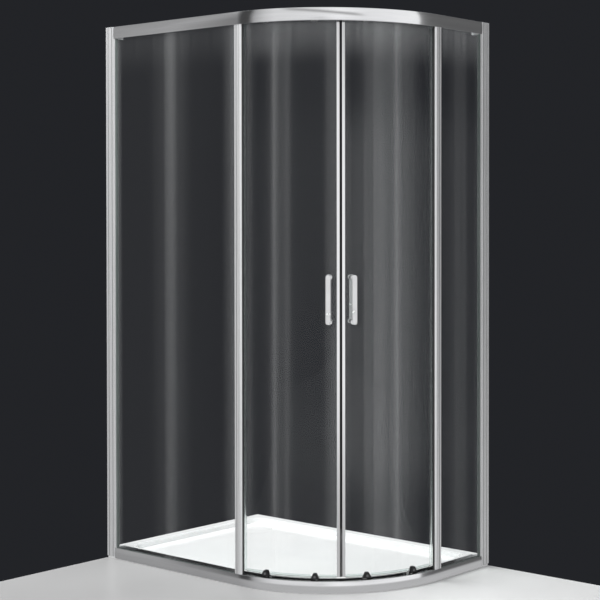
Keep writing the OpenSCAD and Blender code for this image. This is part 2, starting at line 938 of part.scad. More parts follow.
// One handle bar that starts at a radius
module handle_bar(side, r) {
    color("gainsboro")
        on_side(side)
            at_angle(handle_a)
                translate([r, 0, handle_z])
                    mirror([0, 1, 0])
                        rotate([90, 0, 90])
                            linear_extrude(height = handle_t)
                                handle_outline();
}

module handle_posts(side) {
    outer = door_glass_r + washer_t;
    inner = door_inner_r - washer_t - washer_fit;
    color("gainsboro")
        on_side(side)
            at_angle(handle_a)
                for (z = handle_post_z) {
                    radial_pin(outer, door_glass_r + handle_gap, z, post_d);
                    radial_pin(door_inner_r - handle_gap, inner, z, post_d);
                    radial_pin(inner, outer, z, post_neck_d);
                }
}

// Soft rings between the posts and the glass
module handle_washers(side) {
    color("dimgray")
        on_side(side)
            at_angle(handle_a)
                for (z = handle_post_z)
                    for (r = [door_glass_r, door_inner_r - washer_t - washer_fit])
                        difference() {
                            radial_pin(r, r + washer_t, z, post_d + 2 * washer_rim);
                            radial_pin(r - cut, r + washer_t + cut, z,
                                post_neck_d + 2 * axle_play);
                        }
}

shower_tray();
waste_cover();
bottom_rail();
threshold_strip();
bottom_rail_ends();
top_rail();
top_rail_ends();
door_stops();
wall_profile("left");  // left_wall_profile
wall_profile("right");  // right_wall_profile
wall_profile_caps();
upright("left");  // left_upright
upright("right");  // right_upright
adjusting_screws();
side_glass("left");  // left_side_glass
side_glass("right");  // right_side_glass
gaskets("left");  // left_gaskets
gaskets("right");  // right_gaskets
mullion("left");  // left_mullion
mullion("right");  // right_mullion
door_glass("left");  // left_door_glass
leading_stile("left");  // left_leading_stile
magnetic_seal("left");  // left_magnetic_seal
trailing_seal("left");  // left_trailing_seal
sweep_seal("left");  // left_sweep_seal
roller_brackets("left");  // left_roller_brackets
roller_axles("left");  // left_roller_axles
bottom_clips("left");  // left_bottom_clips
guide_axles("left");  // left_guide_axles
handle_bar("left", door_glass_r + handle_gap);  // left_handle
handle_bar("left", door_inner_r - handle_gap - handle_t);  // left_inner_handle
handle_posts("left");  // left_handle_posts
handle_washers("left");  // left_handle_washers
door_glass("right");  // right_door_glass
leading_stile("right");  // right_leading_stile
magnetic_seal("right");  // right_magnetic_seal
trailing_seal("right");  // right_trailing_seal
sweep_seal("right");  // right_sweep_seal
roller_brackets("right");  // right_roller_brackets
roller_axles("right");  // right_roller_axles
bottom_clips("right");  // right_bottom_clips
guide_axles("right");  // right_guide_axles
handle_bar("right", door_glass_r + handle_gap);  // right_handle
handle_bar("right", door_inner_r - handle_gap - handle_t);  // right_inner_handle
handle_posts("right");  // right_handle_posts
handle_washers("right");  // right_handle_washers
roller("left", trailing_roller_a);  // left_trailing_roller
roller("left", leading_roller_a);  // left_leading_roller
guide("left", trailing_roller_a);  // left_trailing_guide
guide("left", leading_roller_a);  // left_leading_guide
release_button("left", trailing_roller_a);  // left_trailing_button
release_button("left", leading_roller_a);  // left_leading_button
roller("right", trailing_roller_a);  // right_trailing_roller
roller("right", leading_roller_a);  // right_leading_roller
guide("right", trailing_roller_a);  // right_trailing_guide
guide("right", leading_roller_a);  // right_leading_guide
release_button("right", trailing_roller_a);  // right_trailing_button
release_button("right", leading_roller_a);  // right_leading_button
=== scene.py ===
"""Curved sliding door shower enclosure: the looks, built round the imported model."""
import math

import bmesh
import bpy
from mathutils import Matrix, Vector


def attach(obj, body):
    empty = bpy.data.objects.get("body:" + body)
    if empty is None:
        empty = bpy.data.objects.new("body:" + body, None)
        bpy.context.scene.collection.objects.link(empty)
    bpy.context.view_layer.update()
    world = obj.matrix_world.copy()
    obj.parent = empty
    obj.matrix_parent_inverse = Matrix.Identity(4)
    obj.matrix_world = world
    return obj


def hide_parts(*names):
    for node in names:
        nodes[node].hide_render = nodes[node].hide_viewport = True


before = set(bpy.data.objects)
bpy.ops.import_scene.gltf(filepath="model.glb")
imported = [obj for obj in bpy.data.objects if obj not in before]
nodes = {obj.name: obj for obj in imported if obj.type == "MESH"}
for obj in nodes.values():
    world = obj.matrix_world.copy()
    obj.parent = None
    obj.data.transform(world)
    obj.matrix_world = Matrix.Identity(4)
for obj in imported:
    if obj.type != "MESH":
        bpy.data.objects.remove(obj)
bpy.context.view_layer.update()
scene = bpy.context.scene

# Camera. A long lens a little above waist height, turned to the curved corner.
# Its lens, place and small shift are fitted to the edges of the enclosure.
camera_data = bpy.data.cameras.new("camera")
camera_data.sensor_width = 36
camera_data.lens = 88.42
camera_data.shift_x = -0.1833
camera_data.shift_y = -0.10
camera = bpy.data.objects.new("camera", camera_data)
camera.location = (3.7836, -4.0085, 1.2854)
camera.rotation_euler = (math.radians(90 - 0.868), 0, math.radians(38.902))
scene.collection.objects.link(camera)
scene.camera = camera
scene.view_settings.view_transform = "Standard"


# Studio. A pale floor that stops where the two walls of the corner stand, with painted shade
# towards the short wall, a soft box overhead and a broad soft light from the front left.
class Finish:
    """A material on Object coordinates, with the few node chains that the pieces share."""

    def __init__(self, name, colour, roughness, metallic=0.0):
        self.material = bpy.data.materials.new(name)
        self.material.use_nodes = True
        self.tree = self.material.node_tree
        self.shader = self.tree.nodes["Principled BSDF"]
        self.shader.inputs["Base Color"].default_value = (*colour, 1)
        self.shader.inputs["Roughness"].default_value = roughness
        self.shader.inputs["Metallic"].default_value = metallic
        self.place = self.tree.nodes.new("ShaderNodeTexCoord").outputs["Object"]

    def link(self, value, socket):
        """Joins a value's socket to a shader's or a node's."""
        self.tree.links.new(value, socket)

    def noise(self, stretch, detail=3.0, roughness=0.5):
        """Noise with so many waves a metre along X, Y and Z."""
        mapping = self.tree.nodes.new("ShaderNodeMapping")
        mapping.inputs["Scale"].default_value = stretch
        self.link(self.place, mapping.inputs["Vector"])
        node = self.tree.nodes.new("ShaderNodeTexNoise")
        node.inputs["Scale"].default_value = 1.0
        node.inputs["Detail"].default_value = detail
        node.inputs["Roughness"].default_value = roughness
        self.link(mapping.outputs[0], node.inputs["Vector"])
        return node.outputs[0]

    def spread(self, value, low, high, start=0.3, end=0.7, smooth=False):
        """Maps start and end to low and high, and holds those beyond."""
        node = self.tree.nodes.new("ShaderNodeMapRange")
        if smooth:
            node.interpolation_type = "SMOOTHSTEP"
        for name, number in zip(("From Min", "From Max", "To Min", "To Max"),
                                (start, end, low, high)):
            node.inputs[name].default_value = number
        self.link(value, node.inputs["Value"])
        return node.outputs[0]

    def sum(self, kind, *values):
        """Chains values or sockets with one kind of Math node."""
        total = values[0]
        for value in values[1:]:
            node = self.tree.nodes.new("ShaderNodeMath")
            node.operation = kind
            for socket, term in zip(node.inputs, (total, value)):
                if isinstance(term, (int, float)):
                    socket.default_value = term
                else:
                    self.link(term, socket)
            total = node.outputs[0]
        return total

    def tones(self, value, dark, light):
        """Colours the surface from dark to light as the value goes from 0 to 1."""
        node = self.tree.nodes.new("ShaderNodeMix")
        node.data_type = "RGBA"
        node.inputs["A"].default_value = (*dark, 1)
        node.inputs["B"].default_value = (*light, 1)
        self.link(value, node.inputs["Factor"])
        self.link(node.outputs["Result"], self.shader.inputs["Base Color"])

    def bump(self, value, strength, distance):
        """Raises the surface by the value, with the distance in metres."""
        node = self.tree.nodes.new("ShaderNodeBump")
        node.inputs["Strength"].default_value = strength
        node.inputs["Distance"].default_value = distance
        self.link(value, node.inputs["Height"])
        self.link(node.outputs[0], self.shader.inputs["Normal"])

    def rough(self, value):
        """Takes the roughness from a value."""
        self.link(value, self.shader.inputs["Roughness"])

    def vary(self, rough_grain, rough_range, tone_grain, dark, light):
        """Lets the roughness and the colour wander a little over the surface."""
        self.rough(self.spread(self.noise(rough_grain), *rough_range))
        self.tones(self.spread(self.noise(tone_grain), 0, 1), dark, light)


WALL_X, WALL_Y = -0.6, 0.4
FLOOR_SIZE = 7
floor_mesh = bpy.data.meshes.new("floor")
bm = bmesh.new()
bmesh.ops.create_grid(bm, x_segments=1, y_segments=1, size=FLOOR_SIZE / 2)
bmesh.ops.translate(bm, vec=(WALL_X + FLOOR_SIZE / 2, WALL_Y - FLOOR_SIZE / 2, 0), verts=bm.verts)
bm.to_mesh(floor_mesh)
bm.free()
floor = bpy.data.objects.new("floor", floor_mesh)
floor.visible_glossy = False
scene.collection.objects.link(floor)
floor_finish = Finish("studio_floor", (0.60, 0.60, 0.60), 0.35)
floor_finish.rough(floor_finish.spread(floor_finish.noise((2, 2, 2)), 0.30, 0.42))
# Painted light and shade on the floor: its colour grows paler along X, from the short wall to the
# right.
floor_split = floor_finish.tree.nodes.new("ShaderNodeSeparateXYZ")
floor_finish.link(floor_finish.place, floor_split.inputs[0])
painted_light = floor_finish.spread(floor_split.outputs["X"], 0.0, 0.9, 0.3, 0.85, True)
clouds = floor_finish.spread(floor_finish.noise((0.8, 0.8, 0.8)), 0, 0.1)
floor_finish.tones(floor_finish.sum("ADD", painted_light, clouds),
                   (0.365, 0.365, 0.365), (0.80, 0.80, 0.80))
floor_mesh.materials.append(floor_finish.material)


def soft_light(name, place, aim, size, power):
    """A rectangular lamp that lights the object but shows in no reflection."""
    lamp_data = bpy.data.lights.new(name, "AREA")
    lamp_data.shape = "RECTANGLE"
    lamp_data.size, lamp_data.size_y = size
    lamp_data.energy = power
    lamp = bpy.data.objects.new(name, lamp_data)
    lamp.location = place
    lamp.rotation_euler = (Vector(aim) - Vector(place)).to_track_quat("-Z", "Y").to_euler()
    lamp.visible_glossy = lamp.visible_transmission = False
    scene.collection.objects.link(lamp)


soft_light("overhead_softbox", (-0.8, -0.9, 4.1), (0, 0, 0), (2.2, 2.4), 196)
soft_light("front_softbox", (2.2, -4.2, 2.2), (0, 0, 0.8), (2.4, 2.0), 95)

# Glass and metal see a dark backdrop behind the enclosure and a bright studio in front
# of it, written as tones by compass angle, with a ceiling above.
world = bpy.data.worlds.new("studio")
scene.world = world
world.use_nodes = True
sky = world.node_tree
sky.nodes.clear()


def sky_math(kind, a, b=None):
    """One Math node of the world, on values or sockets."""
    node = sky.nodes.new("ShaderNodeMath")
    node.operation = kind
    for socket, value in zip(node.inputs, (a, b)):
        if isinstance(value, (int, float)):
            socket.default_value = value
        elif value is not None:
            sky.links.new(value, socket)
    return node.outputs[0]


def sky_light(colour, strength=1.0):
    """A light of one colour, or of a socket's colour."""
    node = sky.nodes.new("ShaderNodeBackground")
    if isinstance(colour, tuple):
        node.inputs["Color"].default_value = (*colour, 1)
    else:
        sky.links.new(colour, node.inputs["Color"])
    node.inputs["Strength"].default_value = strength
    return node.outputs[0]


def sky_mix(factor, a, b):
    """The first light where the factor is 0, the second where it is 1."""
    node = sky.nodes.new("ShaderNodeMixShader")
    sky.links.new(factor, node.inputs[0])
    sky.links.new(a, node.inputs[1])
    sky.links.new(b, node.inputs[2])
    return node.outputs[0]


def sky_fade(value, start, end):
    """Rises softly from 0 at the start to 1 at the end."""
    node = sky.nodes.new("ShaderNodeMapRange")
    node.interpolation_type = "SMOOTHSTEP"
    node.inputs["From Min"].default_value = start
    node.inputs["From Max"].default_value = end
    sky.links.new(value, node.inputs["Value"])
    return node.outputs[0]


def sky_tones(turn, tones):
    """Grey light by compass angle; each tone stands at its degrees from the +X axis."""
    node = sky.nodes.new("ShaderNodeValToRGB")
    sky.links.new(turn, node.inputs[0])
    ramp = node.color_ramp
    ramp.elements[0].position = 0
    ramp.elements[1].position = 1
    for end in (0, 1):
        ramp.elements[end].color = (tones[0][1],) * 3 + (1,)
    for angle, tone in tones[1:]:
        ramp.elements.new((angle + 180) / 360).color = (tone, tone, tone * 1.01, 1)
    return sky_light(node.outputs["Color"])


def sky_patch(across, half_width, up, half_height, soft):
    """A soft-edged patch, by the distances across and up from its middle."""
    side = sky_fade(sky_math("ABSOLUTE", across), half_width + soft, half_width - soft)
    level = sky_fade(sky_math("ABSOLUTE", up), half_height + soft / 2, half_height - soft / 2)
    return sky_math("MULTIPLY", side, level)


BACKDROP = (0.0165, 0.0175, 0.0205)
CEILING = (0.62, 0.64, 0.66)
WORLD_LEVEL = 0.42
STUDIO_TONES = [
    (-180, 0.03), (-152, 0.05), (-146, 0.30), (-138.4, 0.33), (-137.5, 0.52), (-136.9, 0.58),
    (-136.5, 0.28), (-135.6, 0.22), (-134, 0.17), (-131, 0.06), (-122, 0.06), (-117, 0.40),
    (-107, 0.62), (-98, 0.75), (-62, 0.80), (-44, 0.95), (-20, 0.85), (8, 0.92), (28, 0.92),
    (30.5, 0.26), (35, 0.17), (42, 0.13), (62, 0.11), (78, 0.03),
]
GROUND_TONES = [(-180, 0.2), (-150, 0.30), (-134, 0.33), (-115, 0.45), (0, 0.50), (60, 0.48),
                (90, 0.30)]
direction = sky.nodes.new("ShaderNodeTexCoord").outputs["Generated"]
split = sky.nodes.new("ShaderNodeSeparateXYZ")
sky.links.new(direction, split.inputs[0])
compass = sky_math("ARCTAN2", split.outputs["Y"], split.outputs["X"])
turn = sky_math("ADD", sky_math("DIVIDE", compass, 2 * math.pi), 0.5)
height = split.outputs["Z"]
# Two dim patches in front, one that falls to the right and one low, shade the curved rails.
PATCH_COMPASS = math.radians(-58)
SWEEP_HEIGHT, SWEEP_FALL, SWEEP_TONE = 0.255, 0.25, 0.36
LOW_HEIGHT, LOW_TONE = -0.06, 0.17
past = sky_math("SUBTRACT", compass, PATCH_COMPASS)
slant = sky_math("ADD", sky_math("SUBTRACT", height, SWEEP_HEIGHT),
                 sky_math("MULTIPLY", past, SWEEP_FALL))
sweep = sky_patch(past, 0.58, slant, 0.055, 0.12)
low_patch = sky_patch(past, 0.02, sky_math("SUBTRACT", height, LOW_HEIGHT), 0.0, 0.20)
studio = sky_mix(sweep, sky_tones(turn, STUDIO_TONES), sky_light((SWEEP_TONE,) * 3))
studio = sky_mix(low_patch, studio, sky_light((LOW_TONE,) * 3))
studio = sky_mix(sky_fade(height, -0.12, -0.20), studio, sky_tones(turn, GROUND_TONES))
in_gloss = sky_mix(sky_fade(height, 0.3, 0.85), studio, sky_light(CEILING))
paths = sky.nodes.new("ShaderNodeLightPath")
seen = sky_math("MAXIMUM", paths.outputs["Is Camera Ray"], paths.outputs["Is Transmission Ray"])
lit = sky_mix(paths.outputs["Is Glossy Ray"], sky_light((1.0, 1.0, 1.02), WORLD_LEVEL), in_gloss)
sky.links.new(sky_mix(seen, lit, sky_light(BACKDROP)),
              sky.nodes.new("ShaderNodeOutputWorld").inputs["Surface"])


# Shower tray. Cast mineral resin with a glossy white gel coat: a low slab whose ledge
# carries the bottom rail, a rim with one shallow step, and a flat pan with a waste.
def finished(name, bm, material, body, slot, *stands_for):
    """Makes a smooth-shaded piece of a mesh, on its body and in place of its CAD nodes."""
    bmesh.ops.remove_doubles(bm, verts=bm.verts, dist=0.000002)
    bmesh.ops.dissolve_degenerate(bm, dist=0.000002, edges=bm.edges)
    bmesh.ops.recalc_face_normals(bm, faces=bm.faces)
    mesh = bpy.data.meshes.new(name)
    bm.to_mesh(mesh)
    bm.free()
    mesh.shade_smooth()
    mesh.set_sharp_from_angle(angle=math.radians(50))
    mesh.materials.append(material)
    piece = bpy.data.objects.new(name, mesh)
    scene.collection.objects.link(piece)
    flat_faces = piece.modifiers.new("flat_faces", "WEIGHTED_NORMAL")
    flat_faces.keep_sharp = True
    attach(piece, body)
    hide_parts(*stands_for)


def sharp_edges(bm, least=35):
    """The edges that turn by more than the given angle."""
    return [edge for edge in bm.edges
            if len(edge.link_faces) == 2 and edge.calc_face_angle() > math.radians(least)]


def soften(bm, edges, width, segments=2):
    """Rounds the edges by a width."""
    bmesh.ops.bevel(bm, geom=edges, offset=width, segments=segments, profile=0.5,
                    affect="EDGES", clamp_overlap=True, material=-1)


LEDGE_Z, PAN_Z, STEP_Z, RIM_Z = 0.008, 0.020, 0.0365, 0.038
WASTE = (-0.45, 0.25)


def tray_outline(bm, x_end, y_end, corner, curve, x_wall, y_wall, z):
    """One closed outline at a height: straight edges, small corners and the curved one."""
    corners = [bm.verts.new((x, y, z)) for x, y in (
        (x_wall, y_end), (x_end, y_end), (x_end, y_wall), (x_wall, y_wall))]
    old = set(bm.edges)
    bm.faces.new(corners)
    for vert, radius in zip(corners, (corner, curve, corner, corner)):
        bmesh.ops.bevel(bm, geom=[vert], offset=radius, segments=48, profile=0.5,
                        affect="VERTICES", clamp_overlap=False, material=-1)
    bmesh.ops.delete(bm, geom=bm.faces[-1:], context="FACES_KEEP_BOUNDARY")
    return [edge for edge in bm.edges if edge not in old]


def ring(bm, radius, z):
    """The edges of one level circle round the waste, in a fixed order."""
    verts = bmesh.ops.create_circle(bm, cap_ends=False, radius=radius, segments=64,
                                    matrix=Matrix.Translation((*WASTE, z)))["verts"]
    return list(dict.fromkeys(edge for vert in verts for edge in vert.link_edges))


gel_coat = Finish("gel_coat", (0.9, 0.9, 0.9), 0.12)
gel_coat.vary((9, 9, 9), (0.10, 0.20), (3, 3, 3), (0.895, 0.90, 0.90), (0.925, 0.925, 0.92))
gel_coat.bump(gel_coat.noise((45, 45, 45), 2.0), 0.04, 0.0004)

# Each outline: its front ends in X and Y, the radii of the small corners and of the curve,
# and its two edges along the walls.
SLAB = (0.5965, -0.3965, 0.002, 0.4965, WALL_X, WALL_Y)
RIM = (0.549, -0.349, 0.002, 0.449, WALL_X, WALL_Y)
STEP = (0.535, -0.335, 0.058, 0.435, -0.563, 0.363)
PAN = (0.522, -0.322, 0.045, 0.422, -0.55, 0.35)
RECESS_R, RECESS_DEPTH, WASTE_R = 0.058, 0.004, 0.045
bm = bmesh.new()
outlines = [tray_outline(bm, *shape, z) for shape, z in (
    (SLAB, 0), (SLAB, LEDGE_Z), (RIM, LEDGE_Z), (RIM, RIM_Z), (STEP, RIM_Z), (STEP, STEP_Z),
    (PAN, STEP_Z), (PAN, PAN_Z))]
recess = [ring(bm, radius, z) for radius, z in (
    (RECESS_R, PAN_Z), (RECESS_R, PAN_Z - RECESS_DEPTH), (WASTE_R, PAN_Z - RECESS_DEPTH),
    (WASTE_R, 0))]
# A level ring is filled with triangles, but for the ledge, whose outlines meet at the walls.
for rings in (outlines, recess):
    for first, second in zip(rings, rings[1:]):
        level = first[0].verts[0].co.z
        if level == second[0].verts[0].co.z and level > LEDGE_Z + 0.001:
            bmesh.ops.triangle_fill(bm, use_beauty=True, edges=first + second)
        else:
            bmesh.ops.bridge_loops(bm, edges=first + second)
bmesh.ops.triangle_fill(bm, use_beauty=True, edges=outlines[-1] + recess[0])
bmesh.ops.triangle_fill(bm, use_beauty=True, edges=outlines[0] + recess[-1])
bmesh.ops.remove_doubles(bm, verts=bm.verts, dist=0.00001)
bmesh.ops.dissolve_degenerate(bm, dist=0.00001, edges=bm.edges)
for level, width, segments in ((PAN_Z, 0.005, 4), (STEP_Z, 0.0006, 2), (RIM_Z, 0.0007, 2)):
    soften(bm, [edge for edge in sharp_edges(bm)
                if all(abs(vert.co.z - level) < 0.0001 for vert in edge.verts)
                and math.dist(edge.verts[0].co[:2], WASTE) > RECESS_R + 0.012], width, segments)
finished("resin_tray", bm, gel_coat.material, "enclosure_frame", "white_acrylic", "shower_tray")

# Waste cover. A flat disc of the tray's white resin on six small feet, so that water runs in
# round its edge. It lies loose in the recess and lifts out for cleaning.
COVER_R, COVER_LOW_Z, COVER_T = 0.056, 0.017, 0.003
FOOT_COUNT, FOOT_R, FOOT_H = 6, 0.004, 0.001
FOOT_CIRCLE_R = (COVER_R + WASTE_R) / 2
bm = bmesh.new()
rings = [ring(bm, COVER_R - inset, COVER_LOW_Z + up) for inset, up in (
    (0.0002, 0), (0, 0.0003), (0, COVER_T - 0.0006), (0.0004, COVER_T - 0.0001),
    (0.001, COVER_T))]
for lower, upper in zip(rings, rings[1:]):
    bmesh.ops.bridge_loops(bm, edges=lower + upper)
for edges in (rings[0], rings[-1]):
    bmesh.ops.edgeloop_fill(bm, edges=edges)
for i in range(FOOT_COUNT):
    foot_angle = i * 2 * math.pi / FOOT_COUNT
    spot = (WASTE[0] + FOOT_CIRCLE_R * math.cos(foot_angle),
            WASTE[1] + FOOT_CIRCLE_R * math.sin(foot_angle), COVER_LOW_Z - FOOT_H / 2)
    bmesh.ops.create_cone(bm, cap_ends=True, segments=24, radius1=FOOT_R - 0.0003,
                          radius2=FOOT_R, depth=FOOT_H, matrix=Matrix.Translation(spot))
finished("flat_waste_cover", bm, gel_coat.material, "waste_cover", "white_acrylic", "waste_cover")

# Bottom rail. Bright drawn aluminium, bent to the corner: a crowned face outside, a
# channel for the doors' guide wheels, and a slot that holds the side panes.
ARC_CENTRE = Vector((0.1, 0.1, 0))
LEFT_RUN, RIGHT_RUN, RAIL_END = 0.7, 0.3, 0.0425
# Radii of both rails, from the middle outwards, and the heights of the bottom one.
RAIL_IN_R, CHANNEL_R, SLOT_IN_R, SLOT_OUT_R, SKIN_R, CORNER_R = (
    0.450, 0.4525, 0.4865, 0.4955, 0.4975, 0.500)
CHANNEL_OUT_R, CROWN, RAIL_EDGE = 0.478, 0.0017, 0.0007
SKIRT_Z, CHANNEL_Z, SLOT_Z, DECK_Z = 0.002, 0.0105, 0.030, 0.042


def crowned_face(z1, z2):
    """Points up the outside face of a rail, which stands proud in its middle."""
    half = (z2 - z1) / 2
    radius = (half * half + CROWN * CROWN) / (2 * CROWN)
    steps = [half * t / 5 for t in range(-5, 6)]
    return [(CORNER_R - radius + math.sqrt(radius * radius - t * t), z1 + half + t)
            for t in steps]


def bent_rail(section):
    """Draws a section, given in radius and height, along one run, the arc and the other."""
    bm = bmesh.new()
    start = WALL_X + RAIL_END
    verts = [bm.verts.new((start, ARC_CENTRE.y - r, z)) for r, z in section]
    first = [bm.edges.new(pair) for pair in zip(verts, verts[1:] + verts[:1])]
    last = run_on(bm, first, LEFT_RUN - RAIL_END, (1, 0, 0), 8)
    ends = list(dict.fromkeys(vert for edge in last for vert in edge.verts))
    spun = bmesh.ops.spin(bm, geom=last + ends, cent=ARC_CENTRE, axis=(0, 0, 1),
                          angle=math.radians(90), steps=72)
    last = [part for part in spun["geom_last"] if isinstance(part, bmesh.types.BMEdge)]
    last = run_on(bm, last, RIGHT_RUN - RAIL_END, (0, 1, 0), 4)
    for loop in (first, last):
        bmesh.ops.edgeloop_fill(bm, edges=loop)
    bmesh.ops.recalc_face_normals(bm, faces=bm.faces)
    return bm


def run_on(bm, edges, length, along, pieces):
    """Extends a loop of edges by a straight length, in equal pieces."""
    for _ in range(pieces):
        grown = bmesh.ops.extrude_edge_only(bm, edges=edges)["geom"]
        verts = [part for part in grown if isinstance(part, bmesh.types.BMVert)]
        bmesh.ops.translate(bm, vec=Vector(along) * (length / pieces), verts=verts)
        edges = [part for part in grown if isinstance(part, bmesh.types.BMEdge)
                 and all(vert in verts for vert in part.verts)]
    return edges


rail_metal = Finish("rail_metal", (0.86, 0.865, 0.87), 0.1, 1.0)
draw_lines = rail_metal.noise((3, 3, 900), 2.0)
rail_metal.tones(rail_metal.spread(rail_metal.noise((4, 4, 60)), 0, 1),
                 (0.82, 0.825, 0.835), (0.90, 0.905, 0.91))
rail_metal.rough(rail_metal.spread(draw_lines, 0.07, 0.14))
rail_metal.bump(draw_lines, 0.06, 0.00012)

bm = bent_rail([
    (SKIN_R, SKIRT_Z), *crowned_face(SKIRT_Z, DECK_Z), (SLOT_OUT_R, DECK_Z),
    (SLOT_OUT_R, SLOT_Z), (SLOT_IN_R, SLOT_Z), (SLOT_IN_R, DECK_Z), (CHANNEL_OUT_R, DECK_Z),
    (CHANNEL_OUT_R, CHANNEL_Z), (CHANNEL_R, CHANNEL_Z), (CHANNEL_R, DECK_Z),
    (RAIL_IN_R, DECK_Z), (RAIL_IN_R, LEDGE_Z), (SKIN_R, LEDGE_Z)])
soften(bm, sharp_edges(bm, 50), RAIL_EDGE)
finished("lower_rail", bm, rail_metal.material, "enclosure_frame", "bright_aluminium",
         "bottom_rail")


# Threshold strip. A thin aluminium lip on a tongue, pushed in the bottom rail's slot
# between the mullions, where no pane stands.
def dress(material, *names):
    """Gives CAD nodes a finish."""
    for name in names:
        slots = nodes[name].data.materials
        for i in range(len(slots)):
            slots[i] = material
        if not slots:
            slots.append(material)


dress(rail_metal.material, "threshold_strip")

# Rail ends and caps. Moulded plastic with a satin silver coat: a plate on each end of a
# rail, with a spigot in the wall profile, and a cap that closes each profile on top.
end_plastic = Finish("end_plastic", (0.62, 0.63, 0.64), 0.38, 0.35)
end_plastic.vary((40, 40, 40), (0.32, 0.46), (12, 12, 12), (0.60, 0.61, 0.62), (0.66, 0.67, 0.68))
end_plastic.bump(end_plastic.noise((700, 700, 700), 2.0), 0.15, 0.0001)
dress(end_plastic.material, "top_rail_ends", "bottom_rail_ends", "wall_profile_caps")


# Wall profiles. Aluminium channels screwed to the walls, drawn upright, with two grooves
# down the front. The uprights, of the same metal, slide in them.
def on_side(bm, side):
    """Moves a right-hand piece, drawn about the arc's centre, to its own side."""
    if side == "left":
        swap = Matrix(((0, -1, 0, 0), (-1, 0, 0, 0), (0, 0, 1, 0), (0, 0, 0, 1)))
        bmesh.ops.transform(bm, matrix=swap, verts=bm.verts)
    bmesh.ops.translate(bm, vec=ARC_CENTRE, verts=bm.verts)
    bmesh.ops.recalc_face_normals(bm, faces=bm.faces)
    return bm


def upright_bar(outline, z1, z2, width):
    """Draws an outline upright, and rounds its edges by a width."""
    bm = bmesh.new()
    face = bm.faces.new([bm.verts.new((x, y, z1)) for x, y in outline])
    grown = bmesh.ops.extrude_face_region(bm, geom=[face], use_keep_orig=True)["geom"]
    bmesh.ops.translate(bm, vec=(0, 0, z2 - z1),
                        verts=[part for part in grown if isinstance(part, bmesh.types.BMVert)])
    bmesh.ops.recalc_face_normals(bm, faces=bm.faces)
    soften(bm, sharp_edges(bm, 50), width)
    return bm


def post_finish(name, side, painted_shade_bands):
    """Satin aluminium with upright grain, and painted shade as darker upright bands.

    Each band of painted shade has a place, as the distance from the end of the curve towards
    the wall, half a width, and a share by which it is darker.
    """
    metal = Finish(name, (0.80, 0.805, 0.81), 0.3, 0.55)
    split = metal.tree.nodes.new("ShaderNodeSeparateXYZ")
    metal.link(metal.place, split.inputs[0])
    if side == "left":
        reach = metal.sum("SUBTRACT", ARC_CENTRE.x, split.outputs["X"])
    else:
        reach = metal.sum("SUBTRACT", split.outputs["Y"], ARC_CENTRE.y)
    shade, soft = 1.0, 0.0003
    for place, half, depth in painted_shade_bands:
        off = metal.sum("ABSOLUTE", metal.sum("SUBTRACT", reach, place), 0)
        painted_band = metal.spread(off, 1 - depth, 1.0, half - soft, half + soft, True)
        shade = metal.sum("MULTIPLY", painted_band, shade)
    metal.tones(metal.sum("MULTIPLY", shade, metal.spread(metal.noise((70, 70, 1.5)), 0.92, 1.0)),
                (0, 0, 0), (0.84, 0.845, 0.85))
    grain = metal.noise((900, 900, 2.5), 2.0)
    metal.rough(metal.spread(grain, 0.24, 0.36))
    metal.bump(grain, 0.06, 0.00012)
    return metal.material


SIDES = (("left", LEFT_RUN), ("right", RIGHT_RUN))
GROOVE_DEPTH, GROOVE_W, POST_EDGE = 0.0009, 0.0025, 0.0004
# Painted shade in the grooves: half the width of the darker band in the metal's colour, and how
# much darker it is.
GROOVE_PAINTED_SHADE = (0.0014, 0.75)
PROFILE_W, PROFILE_D, PROFILE_WALL, PROFILE_TOP_Z = 0.040, 0.018, 0.002, 1.997
for side, run in SIDES:
    near, web = run - PROFILE_W, run - PROFILE_WALL
    inner, outer = CORNER_R - PROFILE_D, CORNER_R - PROFILE_WALL
    front = [(CORNER_R, near)]
    grooves = (run - 0.0345, run - 0.0135)
    for groove in grooves:
        front += [(CORNER_R, groove), (CORNER_R - GROOVE_DEPTH, groove),
                  (CORNER_R - GROOVE_DEPTH, groove + GROOVE_W), (CORNER_R, groove + GROOVE_W)]
    bm = upright_bar([(inner, near), (inner + PROFILE_WALL, near), (inner + PROFILE_WALL, web),
                      (outer, web), (outer, near), *front, (CORNER_R, run), (inner, run)],
                     LEDGE_Z, PROFILE_TOP_Z, POST_EDGE)
    # The grooves get painted shade: darker bands in the metal's colour.
    finish = post_finish(side + "_channel_metal", side,
                         [(groove + GROOVE_W / 2, *GROOVE_PAINTED_SHADE) for groove in grooves])
    finished(side + "_wall_channel", on_side(bm, side), finish, "enclosure_frame",
             "bright_aluminium", side + "_wall_profile")
    dress(finish, side + "_upright")

# Adjusting screws. Steel, three in each wall profile, driven from inside through its wall
# into the upright, which they hold where the wall needs it.
steel = Finish("steel", (0.62, 0.62, 0.61), 0.25, 1.0)
steel.vary((150, 150, 150), (0.20, 0.36), (30, 30, 30), (0.57, 0.57, 0.56), (0.66, 0.66, 0.65))
dress(steel.material, "adjusting_screws")


# Side panes. Flat 6 mm toughened glass with ground edges, set in the rails' slots. Soft
# upright streaks of painted reflection stand in the glass, with more along its borders and head.
# Transmission weights of the clear glass and of the glass at full painted reflection, whose
# missing share is painted white.
CLEAR, PAINTED_REFLECTION_WEIGHT, GLASS_IOR = 0.998, 0.858, 1.22
HEAD_FADE, MIDDLE_Z, MIDDLE_FADE = (1.80, 1.96), 1.0, (0.5, 0.75)
GLASS_T, GLASS_EDGE = 0.006, 0.0008
SIDE_R, DOOR_R = 0.491, 0.4665
SIDE_Z = (0.032, 1.9925)
PANE_START, PANE_SETBACK = -0.002, 0.022


